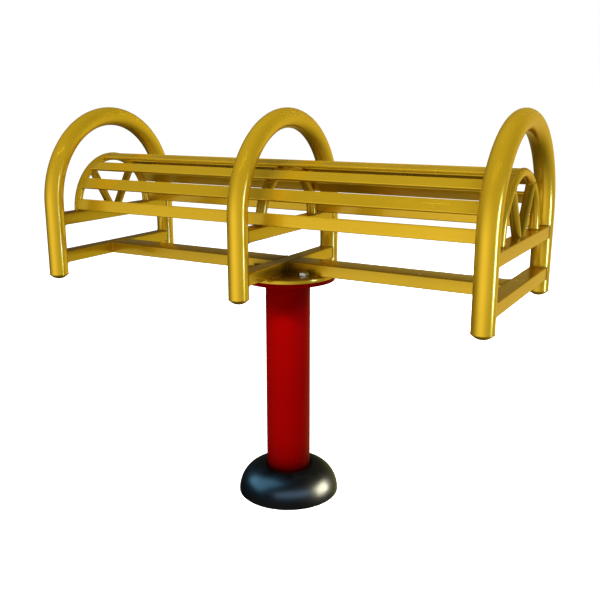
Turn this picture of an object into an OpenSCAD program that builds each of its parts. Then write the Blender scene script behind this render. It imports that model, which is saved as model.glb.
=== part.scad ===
// Slatted barrel bench with three hand hoops that turns on a single post.
// Millimetres, +Z up, origin on the ground at the centre of the post, +X along the bench.

/* [Post] */
// Outside diameter of the column
column_d = 114.3; // [108:0.1:120]
// Wall of the column tube
column_wall = 4; // [3:0.5:6]
// Diameter of the round plate that stands on the foundation
base_plate_d = 240; // [230:1:244]
// Thickness of the base plate
base_plate_t = 10; // [8:1:14]
// Circle of the four anchor holes
anchor_pcd = 190; // [180:1:200]
// Diameter of an anchor hole
anchor_hole_d = 18; // [14:1:20]

/* [Base cover] */
// Outside diameter of the moulded cover at the ground
cover_d = 264; // [256:1:280]
// Height of the cover's crest
cover_h = 71; // [66:1:84]
// Diameter of the cover's crest
cover_crest_d = 138; // [132:1:150]
// Wall of the cover
cover_wall = 3; // [2:0.5:4]

/* [Turntable] */
// Open seam between the top of the fixed column and the turning flange
seam = 1; // [0.5:0.5:3]
// Diameter of the turning flange and of the bench plate that is bolted to it
turntable_d = 240; // [220:1:260]
// Height of the bench plate's top face, where the bench frame stands
deck_z = 600; // [590:1:610]
// Thickness of the bench plate
deck_t = 12; // [10:1:14]
// Thickness of the turning flange
flange_t = 10; // [8:1:12]
// Distance of a flange bolt from the centre along the bench
bolt_x = 78; // [70:1:84]
// Distance of a flange bolt from the centre across the bench
bolt_y = 57; // [54:1:60]

/* [Bench frame] */
// Distance from the middle hoop to an end hoop
hoop_spacing = 576; // [500:1:650]
// Radius of a hoop's bend, on the tube's centreline
hoop_r = 222; // [216:1:230]
// Outside diameter of the hoop tube
hoop_tube_d = 48.3; // [42.4:0.1:50]
// Height of the centre of a hoop's bend
hoop_bend_z = 755; // [750:1:770]
// Height of the end of a hoop's leg
hoop_foot_z = 558; // [550:1:570]
// Width of the tube that the cross rails are cut from
rail_w = 40; // [35:1:45]
// Height of the rail tubes
rail_h = 30; // [25:1:35]
// Width of the rail along the middle of the bench
spine_w = 70; // [60:1:80]
// Height of the underside of the upper cross rails
upper_rail_z = 700; // [690:1:710]

/* [Barrel] */
// Outside diameter of the tube in the end arches and V struts
arch_tube_d = 21.3; // [20:0.1:24]
// Radius of an end arch, on the tube's centreline
arch_r = 137.35; // [136:0.05:138]
// Outside diameter of the tube in the middle arch
middle_arch_tube_d = 26.9; // [24:0.1:28]
// Width of a slat
slat_w = 30; // [24:1:36]
// Thickness of a slat
slat_t = 8; // [6:1:9]
// Radius of the barrel to the outer face of the slats
barrel_r = 146; // [145:0.5:147]
// Angle of the lowest slat above the horizontal
slat_first_angle = 7; // [6:0.5:9]
// Angle between the middles of two neighbouring slats
slat_pitch_angle = 23.7; // [22:0.1:23.7]
// Distance of a V strut's foot from the middle of the bench
strut_foot_y = 13; // [12.8:0.1:16]
// Lean of a V strut from the vertical
strut_lean = 31; // [28:1:34]

/* [Hidden] */
$fn = 96;

weld_gap = 0.05;   // clearance left where two welded pieces meet on a curve
over = 1;          // how far a cutter runs past the face that it cuts

// Bearing housing in the top of the column, with two 50 x 90 x 20 ball bearings
flange_bottom = deck_z - deck_t - flange_t;
column_top = flange_bottom - seam;
bearing_bore_r = 25;
bearing_r = 45;
bearing_w = 20;
inner_race_r = 29.9;
outer_race_bore_r = 40.1;
ball_r = 6.35;
ball_pitch_r = 35;
ball_count = 10;
race_groove_r = 6.45;
bearing_spacing = 48;
upper_bearing_z = flange_bottom - 12 - bearing_w;
lower_bearing_z = upper_bearing_z - bearing_spacing;
housing_shoulder_r = 40;
housing_skirt = 14;
collar_r = 30;
seal_h = 8;
shield_t = 1.2;
washer_t = 1.75;
lock_nut_r = 35;
lock_nut_h = 11;
spindle_bottom = lower_bearing_z - washer_t - lock_nut_h - 5;

// Flange bolts
bolt_d = 16;
bolt_hole_d = 17.5;
bolt_head_af = 24;
bolt_head_h = 10;
bolt_washer_d = 30;
bolt_washer_t = 3;

// Bench frame
hoop_wall = 3.2;
hoop_tube_r = hoop_tube_d / 2;
rail_wall = 2;
rail_top = upper_rail_z + rail_h;
cap_h = 12;                           // height of the domed cap on a hoop's leg
cap_wall = 3;
cap_sphere_r = (hoop_tube_r * hoop_tube_r + cap_h * cap_h) / (2 * cap_h);
middle_arch_r = barrel_r - slat_t - middle_arch_tube_d / 2 - weld_gap;
arch_wall = 2;
slat_count = 8;

paint_yellow = "goldenrod";
paint_red = "darkred";
moulded_black = [0.08, 0.08, 0.09];
zinc = "silver";
race_steel = "lightsteelblue";
rubber_black = [0.15, 0.15, 0.15];
cage_nylon = "burlywood";

// ---- shapes that repeat ----

// Rectangular tube along Y, centred on X, standing on z = 0
module tube_along_y(w, h, wall, length) {
    difference() {
        translate([-w / 2, -length / 2, 0]) cube([w, length, h]);
        translate([-w / 2 + wall, -length / 2 - over, wall])
            cube([w - 2 * wall, length + 2 * over, h - 2 * wall]);
    }
}

// Half ring of round tube in the plane across the bench, standing on z = 0
module half_ring(r, tube_r) {
    rotate([90, 0, 90]) rotate_extrude(angle = 180) translate([r, 0]) circle(r = tube_r);
}

// Hollow half ring of round tube
module half_ring_tube(r, tube_r, wall) {
    rotate([90, 0, 90]) rotate_extrude(angle = 180) translate([r, 0]) difference() {
        circle(r = tube_r);
        circle(r = tube_r - wall);
    }
}

// Ring of revolution with a square section
module ring(r_in, r_out, h) {
    difference() {
        cylinder(r = r_out, h = h);
        translate([0, 0, -over]) cylinder(r = r_in, h = h + 2 * over);
    }
}

// Places its children at the four flange bolts
module at_flange_bolts() {
    for (sx = [-1, 1], sy = [-1, 1]) translate([sx * bolt_x, sy * bolt_y, 0]) children();
}

// The raceway groove that both rings of a bearing share
module raceway() {
    rotate_extrude() translate([ball_pitch_r, 0]) circle(r = race_groove_r);
}

// ---- post ----

module base_plate() {
    color(paint_red) difference() {
        cylinder(d = base_plate_d, h = base_plate_t);
        for (a = [45:90:315]) rotate(a) translate([anchor_pcd / 2, 0, -over])
            cylinder(d = anchor_hole_d, h = base_plate_t + 2 * over);
    }
}

module base_gussets() {
    gusset_t = 8;
    gusset_h = 42;
    root_r = column_d / 2 + weld_gap;
    toe_r = base_plate_d / 2 - 12;
    toe_h = 6;
    color(paint_red) for (a = [0:90:270]) rotate(a) translate([0, gusset_t / 2, base_plate_t])
        rotate([90, 0, 0]) linear_extrude(gusset_t) polygon([
            [root_r, 0], [toe_r, 0], [toe_r, toe_h], [root_r + toe_h, gusset_h], [root_r, gusset_h]
        ]);
}

// Section of the cover: a quarter ellipse up to the crest, then a short roll down to the column
function cover_arc(inset, steps) = [
    for (i = [0:steps]) let (a = 90 * i / steps, crest_r = cover_crest_d / 2) [
        crest_r + (cover_d / 2 - inset - crest_r) * cos(a),
        (cover_h - inset) * sin(a)
    ]
];
function cover_roll(inset, lip_r, drop, steps) = [
    for (i = [1:steps]) let (a = 90 * i / steps, crest_r = cover_crest_d / 2) [
        crest_r - (crest_r - lip_r) * sin(a),
        cover_h - inset - drop * (1 - cos(a))
    ]
];

module base_cover() {
    lip_r = column_d / 2 + 0.4;
    drop = 6;
    outer = concat(cover_arc(0, 24), cover_roll(0, lip_r, drop, 6));
    inner = concat(cover_arc(cover_wall, 24), cover_roll(cover_wall, lip_r, drop, 6));
    last = len(inner) - 1;
    color(moulded_black) rotate_extrude()
        polygon(concat(outer, [for (i = [0:last]) inner[last - i]]));
}

module column_tube() {
    color(paint_red) translate([0, 0, base_plate_t])
        ring(column_d / 2 - column_wall, column_d / 2, column_top - base_plate_t);
}

module bearing_housing() {
    bottom = lower_bearing_z - housing_skirt;
    housing_h = column_top - bottom;
    seat_r = bearing_r + weld_gap;
    color(zinc) translate([0, 0, bottom]) difference() {
        cylinder(r = column_d / 2 - column_wall - weld_gap, h = housing_h);
        translate([0, 0, -over]) cylinder(r = housing_shoulder_r, h = housing_h + 2 * over);
        translate([0, 0, -over]) cylinder(r = seat_r, h = housing_skirt + bearing_w + over);
        translate([0, 0, upper_bearing_z - bottom]) cylinder(r = seat_r, h = housing_h);
    }
}

module spindle() {
    chamfer = 1.5;
    top = flange_bottom + flange_t - 2;
    color(zinc) rotate_extrude() polygon([
        [0, spindle_bottom], [bearing_bore_r - chamfer, spindle_bottom],
        [bearing_bore_r, spindle_bottom + chamfer], [bearing_bore_r, upper_bearing_z + bearing_w],
        [collar_r, upper_bearing_z + bearing_w], [collar_r, flange_bottom],
        [bearing_bore_r, flange_bottom], [bearing_bore_r, top], [0, top]
    ]);
}

module inner_race(z) {
    color(race_steel) translate([0, 0, z]) difference() {
        ring(bearing_bore_r + weld_gap, inner_race_r, bearing_w);
        translate([0, 0, bearing_w / 2]) raceway();
    }
}

module bearing_balls(z) {
    color(zinc) for (i = [1:ball_count]) rotate(360 * i / ball_count)
        translate([ball_pitch_r, 0, z + bearing_w / 2]) sphere(r = ball_r);
}

module ball_cage(z) {
    cage_h = 14.4;
    cage_t = 3;
    pocket_r = ball_r + 0.15;
    color(cage_nylon) translate([0, 0, z + bearing_w / 2]) difference() {
        translate([0, 0, -cage_h / 2])
            ring(ball_pitch_r - cage_t / 2, ball_pitch_r + cage_t / 2, cage_h);
        for (i = [1:ball_count]) rotate([0, 90, 360 * i / ball_count])
            translate([0, 0, ball_pitch_r - 2 * cage_t]) cylinder(r = pocket_r, h = 4 * cage_t);
    }
}

module inner_race_spacer() {
    color(zinc) translate([0, 0, lower_bearing_z + bearing_w])
        ring(bearing_bore_r + weld_gap, inner_race_r - 0.4, bearing_spacing - bearing_w);
}

module lock_washer() {
    tooth_count = 13;
    tooth_w = 5;
    rim_r = 34;
    tooth_r = 37.5;
    color(zinc) translate([0, 0, lower_bearing_z - washer_t]) difference() {
        union() {
            cylinder(r = rim_r, h = washer_t);
            for (i = [1:tooth_count]) rotate(360 * i / tooth_count)
                translate([rim_r - 3, -tooth_w / 2, 0]) cube([tooth_r - rim_r + 3, tooth_w, washer_t]);
        }
        translate([0, 0, -over]) cylinder(r = bearing_bore_r + weld_gap, h = washer_t + 2 * over);
    }
}

module lock_nut() {
    slot_w = 6;
    slot_depth = 2.5;
    color(zinc) translate([0, 0, lower_bearing_z - washer_t - lock_nut_h]) difference() {
        ring(bearing_bore_r + weld_gap, lock_nut_r, lock_nut_h);
        for (a = [0:90:270]) rotate(a) translate([lock_nut_r - slot_depth, -slot_w / 2, -over])
            cube([slot_depth + over, slot_w, lock_nut_h + 2 * over]);
    }
}

// ---- turning head ----

module turning_flange() {
    color(paint_red) translate([0, 0, flange_bottom]) difference() {
        ring(bearing_bore_r + weld_gap, turntable_d / 2, flange_t);
        at_flange_bolts() translate([0, 0, -over])
            cylinder(r = bolt_d / 2 + weld_gap, h = flange_t + 2 * over);
    }
}

module dust_seal() {
    lip_clearance = 0.1;
    color(rubber_black) translate([0, 0, upper_bearing_z + bearing_w + 1.5])
        ring(collar_r + lip_clearance, bearing_r, seal_h);
}

module outer_race(z) {
    color(race_steel) translate([0, 0, z]) difference() {
        ring(outer_race_bore_r, bearing_r, bearing_w);
        translate([0, 0, bearing_w / 2]) raceway();
    }
}

module bearing_shields() {
    gap = 0.4;
    faces = [
        lower_bearing_z, lower_bearing_z + bearing_w - shield_t,
        upper_bearing_z, upper_bearing_z + bearing_w - shield_t
    ];
    color(rubber_black) for (z = faces) translate([0, 0, z])
        ring(inner_race_r + gap, outer_race_bore_r - weld_gap, shield_t);
}

module turntable_plate() {
    rim_r = 5;
    steps = 8;
    edge = [
        for (i = [0:steps]) let (a = 90 * i / steps)
            [turntable_d / 2 - rim_r + rim_r * cos(a), deck_t - rim_r + rim_r * sin(a)]
    ];
    color(paint_yellow) translate([0, 0, deck_z - deck_t]) difference() {
        rotate_extrude() polygon(concat([[0, 0], [turntable_d / 2, 0]], edge, [[0, deck_t]]));
        at_flange_bolts() translate([0, 0, -over]) cylinder(d = bolt_hole_d, h = deck_t + 2 * over);
    }
}

module flange_bolts() {
    head_r = bolt_head_af / sqrt(3);
    under_head = deck_z + bolt_washer_t;
    shank_bottom = flange_bottom + 1;
    color(zinc) at_flange_bolts() {
        translate([0, 0, shank_bottom]) cylinder(d = bolt_d, h = under_head - shank_bottom + over);
        translate([0, 0, under_head]) intersection() {
            cylinder(r = head_r, h = bolt_head_h, $fn = 6);
            cylinder(r1 = head_r + bolt_head_h, r2 = bolt_head_af / 2 - 0.6, h = bolt_head_h);
        }
    }
}

module bolt_washers() {
    color(zinc) at_flange_bolts() translate([0, 0, deck_z])
        ring(bolt_d / 2 + 0.5, bolt_washer_d / 2, bolt_washer_t);
}

// ---- bench frame ----

// Half of the spine, from the middle cross rail to an end cross rail; side is -1 or 1
module spine_rail(side) {
    length = hoop_spacing - rail_w - 2 * weld_gap;
    color(paint_yellow) translate([side * hoop_spacing / 2, 0, deck_z]) rotate(90)
        tube_along_y(spine_w, rail_h, rail_wall, length);
}

// Cross rail with both ends coped to the legs of its hoop
module cross_rail(x, z) {
    color(paint_yellow) translate([x, 0, z]) difference() {
        tube_along_y(rail_w, rail_h, rail_wall, 2 * hoop_r);
        for (side = [-1, 1]) translate([0, side * hoop_r, -over])
            cylinder(r = hoop_tube_r + weld_gap, h = rail_h + 2 * over);
    }
}

module hoop(x) {
    leg_bottom = hoop_foot_z + cap_h;
    color(paint_yellow) translate([x, 0, 0]) {
        translate([0, 0, hoop_bend_z]) half_ring_tube(hoop_r, hoop_tube_r, hoop_wall);
        for (side = [-1, 1]) translate([0, side * hoop_r, leg_bottom])
            ring(hoop_tube_r - hoop_wall, hoop_tube_r, hoop_bend_z - leg_bottom);
    }
}

module hoop_caps(x) {
    color(paint_yellow) for (side = [-1, 1]) translate([x, side * hoop_r, hoop_foot_z]) intersection() {
        translate([0, 0, cap_sphere_r]) difference() {
            sphere(r = cap_sphere_r);
            sphere(r = cap_sphere_r - cap_wall);
        }
        translate([-hoop_tube_r - over, -hoop_tube_r - over, -over])
            cube([2 * (hoop_tube_r + over), 2 * (hoop_tube_r + over), cap_h + over]);
    }
}

module arch(x, r, tube_d) {
    color(paint_yellow) translate([x, 0, rail_top]) half_ring_tube(r, tube_d / 2, arch_wall);
}

// Two struts that rise from the middle of the upper rail and lean out to the end arch
module v_brace(x) {
    tube_r = arch_tube_d / 2;
    foot_run = 20;
    rise = strut_foot_y * sin(strut_lean);
    reach = sqrt(arch_r * arch_r - pow(strut_foot_y * cos(strut_lean), 2)) - rise;
    color(paint_yellow) for (side = [-1, 1]) translate([x, 0, rail_top]) difference() {
        translate([0, side * strut_foot_y, 0]) rotate([-side * strut_lean, 0, 0])
            translate([0, 0, -foot_run]) ring(tube_r - arch_wall, tube_r, foot_run + reach);
        translate([-2 * tube_r, -arch_r, -2 * foot_run]) cube([4 * tube_r, 2 * arch_r, 2 * foot_run]);
        half_ring(arch_r, tube_r + weld_gap);
    }
}

// Full-length flat bar with round edges; number 1 is the lowest on the -Y side, 8 on the +Y side
module slat(number) {
    half = slat_count / 2;
    step = number <= half ? number - 1 : slat_count - number;
    side = number <= half ? -1 : 1;
    angle = slat_first_angle + slat_pitch_angle * step;
    edge_r = slat_t / 2;
    color(paint_yellow) translate([0, 0, rail_top]) difference() {
        rotate([-side * (90 - angle), 0, 0]) translate([-hoop_spacing, 0, barrel_r - edge_r])
            rotate([90, 0, 90]) linear_extrude(2 * hoop_spacing) {
                square([slat_w - slat_t, slat_t], center = true);
                for (s = [-1, 1]) translate([s * (slat_w - slat_t) / 2, 0]) circle(r = edge_r);
            }
        for (s = [-1, 1]) translate([s * hoop_spacing, 0, 0])
            half_ring(arch_r, arch_tube_d / 2 + weld_gap);
    }
}

base_plate();
base_gussets();
base_cover();
column_tube();
bearing_housing();
outer_race(lower_bearing_z);  // lower_outer_race
bearing_balls(lower_bearing_z);  // lower_bearing_balls
ball_cage(lower_bearing_z);  // lower_ball_cage
outer_race(upper_bearing_z);  // upper_outer_race
bearing_balls(upper_bearing_z);  // upper_bearing_balls
ball_cage(upper_bearing_z);  // upper_ball_cage
bearing_shields();
dust_seal();
spindle();
inner_race(lower_bearing_z);  // lower_inner_race
inner_race_spacer();
inner_race(upper_bearing_z);  // upper_inner_race
lock_washer();
lock_nut();
turning_flange();
turntable_plate();
flange_bolts();
bolt_washers();
spine_rail(-1);  // left_spine_rail
spine_rail(1);  // right_spine_rail
cross_rail(-hoop_spacing, deck_z);  // left_lower_rail
cross_rail(0, deck_z);  // middle_lower_rail
cross_rail(hoop_spacing, deck_z);  // right_lower_rail
cross_rail(-hoop_spacing, upper_rail_z);  // left_upper_rail
cross_rail(0, upper_rail_z);  // middle_upper_rail
cross_rail(hoop_spacing, upper_rail_z);  // right_upper_rail
hoop(-hoop_spacing);  // left_hoop
hoop(0);  // middle_hoop
hoop(hoop_spacing);  // right_hoop
hoop_caps(-hoop_spacing);  // left_hoop_caps
hoop_caps(0);  // middle_hoop_caps
hoop_caps(hoop_spacing);  // right_hoop_caps
arch(-hoop_spacing, arch_r, arch_tube_d);  // left_arch
arch(0, middle_arch_r, middle_arch_tube_d);  // middle_arch
arch(hoop_spacing, arch_r, arch_tube_d);  // right_arch
v_brace(-hoop_spacing);  // left_v_brace
v_brace(hoop_spacing);  // right_v_brace
slat(1);  // slat_1
slat(2);  // slat_2
slat(3);  // slat_3
slat(4);  // slat_4
slat(5);  // slat_5
slat(6);  // slat_6
slat(7);  // slat_7
slat(8);  // slat_8
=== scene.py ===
# %% [markdown]
# # A barrel bench that turns on one post
# The object is a piece of playground equipment: eight flat bars run round three small arches and
# make a barrel to sit on, three tall hoops are there to hold, and the whole frame is welded to a
# round plate that turns on bearings in the top of a red post. A black moulded cover hides the foot.
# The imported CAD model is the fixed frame. Most sizes below are read from its boxes, in metres.

# %% Load the fixed frame
import math

import bmesh
import bpy
from mathutils import Matrix, Vector


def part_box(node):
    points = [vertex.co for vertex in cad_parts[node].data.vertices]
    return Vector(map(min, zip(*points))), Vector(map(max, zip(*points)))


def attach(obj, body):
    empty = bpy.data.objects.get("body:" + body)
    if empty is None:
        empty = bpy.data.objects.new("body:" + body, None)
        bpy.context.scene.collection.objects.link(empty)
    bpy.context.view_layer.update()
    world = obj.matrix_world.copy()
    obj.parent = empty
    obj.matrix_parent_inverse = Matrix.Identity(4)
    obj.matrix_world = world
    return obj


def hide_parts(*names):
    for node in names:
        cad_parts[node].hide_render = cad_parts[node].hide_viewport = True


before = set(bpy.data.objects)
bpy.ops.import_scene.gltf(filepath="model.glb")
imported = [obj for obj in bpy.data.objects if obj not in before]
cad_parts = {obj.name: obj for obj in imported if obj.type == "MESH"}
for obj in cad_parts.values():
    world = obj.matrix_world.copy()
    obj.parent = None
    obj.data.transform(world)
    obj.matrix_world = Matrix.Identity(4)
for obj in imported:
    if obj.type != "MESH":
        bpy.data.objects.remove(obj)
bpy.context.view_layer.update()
MM = 0.001

# %% [markdown]
# ## Measurements
# A part's box is enough to find how it was drawn. A hoop's box is as wide as its tube, so half of
# that is the tube's radius, and the rest of its sizes follow. Walls and corner radii are the ones
# that this stock is sold in.


# %% Read the driving sizes from the frame
def box_of(node):
    """Lowest corner, highest corner and middle of a CAD node."""
    low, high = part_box(node)
    return low, high, (low + high) / 2


def bent_tube_of(node):
    """Place along the bench, tube radius, bend radius and height of the bend's centre."""
    low, high, middle = box_of(node)
    tube_r = (high.x - low.x) / 2
    bend_r = high.y - tube_r
    return middle.x, tube_r, bend_r, high.z - tube_r - bend_r


end_x, hoop_tube_r, hoop_r, hoop_bend_z = bent_tube_of("right_hoop")
_, arch_tube_r, arch_r, barrel_z = bent_tube_of("right_arch")
_, middle_arch_tube_r, middle_arch_r, _ = bent_tube_of("middle_arch")
leg_bottom_z = box_of("right_hoop")[0].z
cap_bottom_z = box_of("right_hoop_caps")[0].z
rail_low, rail_high, _ = box_of("middle_lower_rail")
upper_rail_z = box_of("middle_upper_rail")[0].z
spine_low, spine_high, spine_middle = box_of("right_spine_rail")
deck_low, deck_high, _ = box_of("turntable_plate")
flange_low, flange_high, _ = box_of("turning_flange")
column_low, column_high, _ = box_of("column_tube")
cover_high = box_of("base_cover")[1]
washer_low, washer_high, _ = box_of("bolt_washers")

HOOP_WALL = 3.2 * MM
RAIL_WALL = 2 * MM
RAIL_CORNER = 2.5 * MM
ARCH_WALL = 2 * MM
SLAT_WIDTH = 30 * MM
SLAT_THICK = 8 * MM
SLAT_EDGE = 2.5 * MM
PAST = 10 * MM  # how far a cutter reaches past what it cuts
FINE_SIDES = 96
SIDES = {"left": -end_x, "middle": 0.0, "right": end_x}
print("hoops at", SIDES, "bend radius", hoop_r, "barrel axis at", barrel_z)

# %% [markdown]
# ## Camera
# The viewer stands in front of the bench and past its right end, eyes level with the tops of the
# hoops, and looks down a little. The lens is a long normal one, so that the near hoop doesn't swell.

# %% Set up the camera
CAMERA_PLACE = (1.0088, -1.6933, 1.0033)
CAMERA_TILT = 76.258
CAMERA_TURN = 29.887
LENS_MM = 47.51

bpy.ops.object.camera_add(
    location=CAMERA_PLACE, rotation=(math.radians(CAMERA_TILT), 0, math.radians(CAMERA_TURN))
)
camera = bpy.context.object
camera.name = "camera"
camera.data.sensor_width = 36
camera.data.lens = LENS_MM
bpy.context.scene.camera = camera
bpy.context.scene.view_settings.view_transform = "Standard"
print("camera at", tuple(camera.location))

# %% [markdown]
# ## Sums on sockets
# A pattern is easiest to read as a formula. `Wire` wraps the output of a node and turns `+`, `-`,
# `*`, `/` and `**` into Math nodes. `Nodes` adds any other node in one call: its settings are set first,
# then each input takes a number, a colour or a wire.


# %% Define the node helpers
class Wire:
    """The output of a node, which Python can reckon with."""

    def __init__(self, nodes, socket):
        self.nodes = nodes
        self.socket = socket

    def math(self, operation, *values):
        return self.nodes.add("Math", {"operation": operation}, dict(enumerate(values)))

    def __add__(self, other):
        return self.math("ADD", self, other)

    def __sub__(self, other):
        return self.math("SUBTRACT", self, other)

    def __rsub__(self, other):
        return self.math("SUBTRACT", other, self)

    def __mul__(self, other):
        return self.math("MULTIPLY", self, other)

    def __truediv__(self, other):
        return self.math("DIVIDE", self, other)

    def __pow__(self, other):
        return self.math("POWER", self, other)

    __radd__ = __add__

    def over(self, low, high):
        """0 below low, 1 above high, and a soft ramp between them."""
        return self.nodes.add(
            "MapRange", {"interpolation_type": "SMOOTHSTEP"},
            {"Value": self, "From Min": low, "From Max": high},
        )


class Nodes:
    """A node tree that is filled one call at a time."""

    def __init__(self, tree):
        self.tree = tree
        tree.nodes.clear()

    def add(self, kind, settings=None, inputs=None, output=0):
        node = self.tree.nodes.new("ShaderNode" + kind)
        for name, value in (settings or {}).items():
            setattr(node, name, value)
        for name, value in (inputs or {}).items():
            if isinstance(value, Wire):
                self.tree.links.new(value.socket, node.inputs[name])
            else:
                node.inputs[name].default_value = value
        return Wire(self, node.outputs[output]) if len(node.outputs) else node

    def colour(self, factor, first, second):
        """A blend of two colours."""
        return self.add("Mix", {"data_type": "RGBA"}, {0: factor, 6: first, 7: second}, output=2)

    def place(self, scale=(1, 1, 1)):
        """Where a point is on the object, stretched along each axis."""
        here = self.add("TexCoord", output="Object")
        return self.add("Mapping", {}, {"Vector": here, "Scale": scale})

    def noise(self, where, scale, detail=2.0, rough=0.5):
        return self.add(
            "TexNoise", {}, {"Vector": where, "Scale": scale, "Detail": detail, "Roughness": rough}
        )


print("node helpers ready")

# %% [markdown]
# ## The studio
# Gloss paint shows its surroundings more than its own colour, so the surroundings are designed
# first. The world is a sum of soft glows, each a direction, a tightness and a colour: a bright one
# in front, a warm one on the right, a yellow one behind and a faint cool one above the left end.
# The strong ones lie low, so the flat bars fall from bright gold at the bottom of the barrel to
# olive on top.
# The eye sees plain white behind the object, through the Is Camera Ray switch.


# %% Light the world
def heading(azimuth, elevation):
    """Unit vector: azimuth 0 is the front of the bench, 90 its right end, elevation is upwards."""
    round_z = math.radians(azimuth)
    upwards = math.radians(elevation)
    level = math.cos(upwards)
    return Vector((math.sin(round_z) * level, -math.cos(round_z) * level, math.sin(upwards)))


WORLD_BASE = (0.04, 0.04, 0.035, 1)
GLOWS = [
    # azimuth, elevation, tightness, colour
    (-8, -20, 3.0, (1.26, 1.22, 1.10)),
    (75, -14, 3.0, (0.46, 0.45, 0.28)),
    (162, -14, 4.0, (0.92, 0.88, 0.24)),
    (-95, 40, 3.0, (0.10, 0.11, 0.12)),
]

world = bpy.data.worlds.new("studio")
bpy.context.scene.world = world
world.use_nodes = True
sky = Nodes(world.node_tree)
looking = sky.add("TexCoord", output="Generated")
total = sky.add("RGB")
total.socket.default_value = WORLD_BASE
for azimuth, elevation, tightness, colour in GLOWS:
    towards = sky.add(
        "VectorMath", {"operation": "DOT_PRODUCT"},
        {0: looking, 1: heading(azimuth, elevation)}, output="Value",
    )
    strength = towards.math("MAXIMUM", towards, 0.0) ** float(tightness)
    glow = sky.add("VectorMath", {"operation": "SCALE"}, {0: colour, "Scale": strength})
    total = sky.add("VectorMath", {"operation": "ADD"}, {0: total, 1: glow})
seen = sky.add("LightPath", output="Is Camera Ray")
lit = sky.add("Background", {}, {"Color": total, "Strength": 1.0})
plain = sky.add("Background", {}, {"Color": (1, 1, 1, 1), "Strength": 1.0})
sky.add("OutputWorld", {}, {"Surface": sky.add("MixShader", {}, {0: seen, 1: lit, 2: plain})})
print("world glows:", len(GLOWS))

# %% [markdown]
# ## Lamps
# Area lamps do what a wall of light can't. The keys stand high in front: one lights the bench, the
# other casts the soft shadow of the turntable down the post. A fill lights the back. A tall narrow
# strip at the right end draws the thin line down the upright tubes, and it is blue so that the line
# comes out pale on gold. Three panels round the foot put the cool and warm highlights on the black
# cover, in its gloss only. The lamps aren't seen themselves.


# %% Add the lamps
def area_lamp(name, azimuth, elevation, distance, size, power, colour, target=(0, 0, 0.6),
              gloss=True, body=True):
    """A rectangular lamp that faces its target; it lights the gloss, the body colour or both."""
    direction = heading(azimuth, elevation)
    bpy.ops.object.light_add(type="AREA", location=Vector(target) + direction * distance)
    lamp = bpy.context.object
    lamp.name = name
    lamp.rotation_euler = (-direction).to_track_quat("-Z", "Y").to_euler()
    lamp.data.shape = "RECTANGLE"
    lamp.data.size, lamp.data.size_y = size
    lamp.data.energy = power
    lamp.data.color = colour
    lamp.visible_camera = False
    lamp.visible_glossy = gloss
    lamp.visible_diffuse = body
    print(name, "at", tuple(round(v, 2) for v in lamp.location))
    return lamp


bench_key = area_lamp("bench_key", 22, 55, 3.4, (3.6, 0.45), 265, (1, 0.98, 0.95), gloss=False)
post_key = area_lamp("post_key", 20, 55, 7.0, (9.8, 0.9), 730, (1, 0.98, 0.95), gloss=False)
area_lamp("back_fill", 176, 25, 4.0, (3.0, 1.5), 170, (1, 0.98, 0.95), gloss=False)
strip = area_lamp("right_strip", 95, 0, 3.0, (0.5, 1.2), 100, (0.12, 0.21, 1.0), body=False)
COVER_MIDDLE = (0, 0, 0.05)
cover_lamps = [
    area_lamp("cool_panel", -62, 47, 2.6, (2.4, 3.0), 900, (0.26, 0.66, 1.0), COVER_MIDDLE),
    area_lamp("low_band", 42, 30, 2.6, (4.4, 1.1), 520, (0.40, 0.68, 1.0), COVER_MIDDLE),
    area_lamp("warm_panel", 117, 15, 2.6, (1.5, 1.2), 1500, (1.0, 0.95, 0.72), COVER_MIDDLE),
]
for lamp in cover_lamps:
    lamp.visible_diffuse = False

# %% [markdown]
# ## Floor
# The floor is pale and even, so that nothing competes with the bench. It glows by itself, and
# it is kept out of the reflections: a white floor would light the underside of every tube.

# %% Lay the floor
FLOOR_SIZE = 60
bpy.ops.mesh.primitive_plane_add(size=FLOOR_SIZE, location=(0, 0, 0))
floor = bpy.context.object
floor.name = "floor"
floor_finish = bpy.data.materials.new("pale_floor")
floor_finish.use_nodes = True
ground = Nodes(floor_finish.node_tree)
ground.add("OutputMaterial", {}, {"Surface": ground.add("BsdfPrincipled", {}, {
    "Base Color": (0.8, 0.8, 0.8, 1), "Roughness": 0.9,
    "Emission Color": (1, 1, 1, 1), "Emission Strength": 0.93,
})})
floor.data.materials.append(floor_finish)
floor.visible_glossy = False
floor.visible_diffuse = False
print("floor", FLOOR_SIZE, "m")

# %% [markdown]
# ## Powder coat
# The frame is steel tube under a glossy golden powder coat. Powder melts into a skin with faint
# orange peel, its colour drifts a little from batch heat, and it has mica in it, so it is part
# metal to the light. People slide along the bars, so surfaces that face up carry hair scratches
# along the bench and are slightly duller. The red of the post is the same kind of skin, without
# mica. Shade is painted into both coats: a painted contact shadow darkens the red towards the
# seam where the post goes into its cover, and painted shade darkens the gold in the corners of
# the rails on the round plate.


# %% Mix the powder coats
def new_finish(name):
    material = bpy.data.materials.new(name)
    material.use_nodes = True
    return material, Nodes(material.node_tree)


def close_finish(nodes, sockets):
    """Joins a Principled shader to the output."""
    shader = nodes.add("BsdfPrincipled", {}, sockets)
    nodes.add("OutputMaterial", {}, {"Surface": shader})


def painted_foot_shade(nodes):
    """Painted contact shadow: strongest at the seam between the post and its cover, and fading away from
    it.
    """
    height = nodes.add("SeparateXYZ", {}, {0: nodes.place()}, output="Z")
    away = height.math("ABSOLUTE", height - cover_high.z) / (-30 * MM)
    return away.math("EXPONENT", away)


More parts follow.
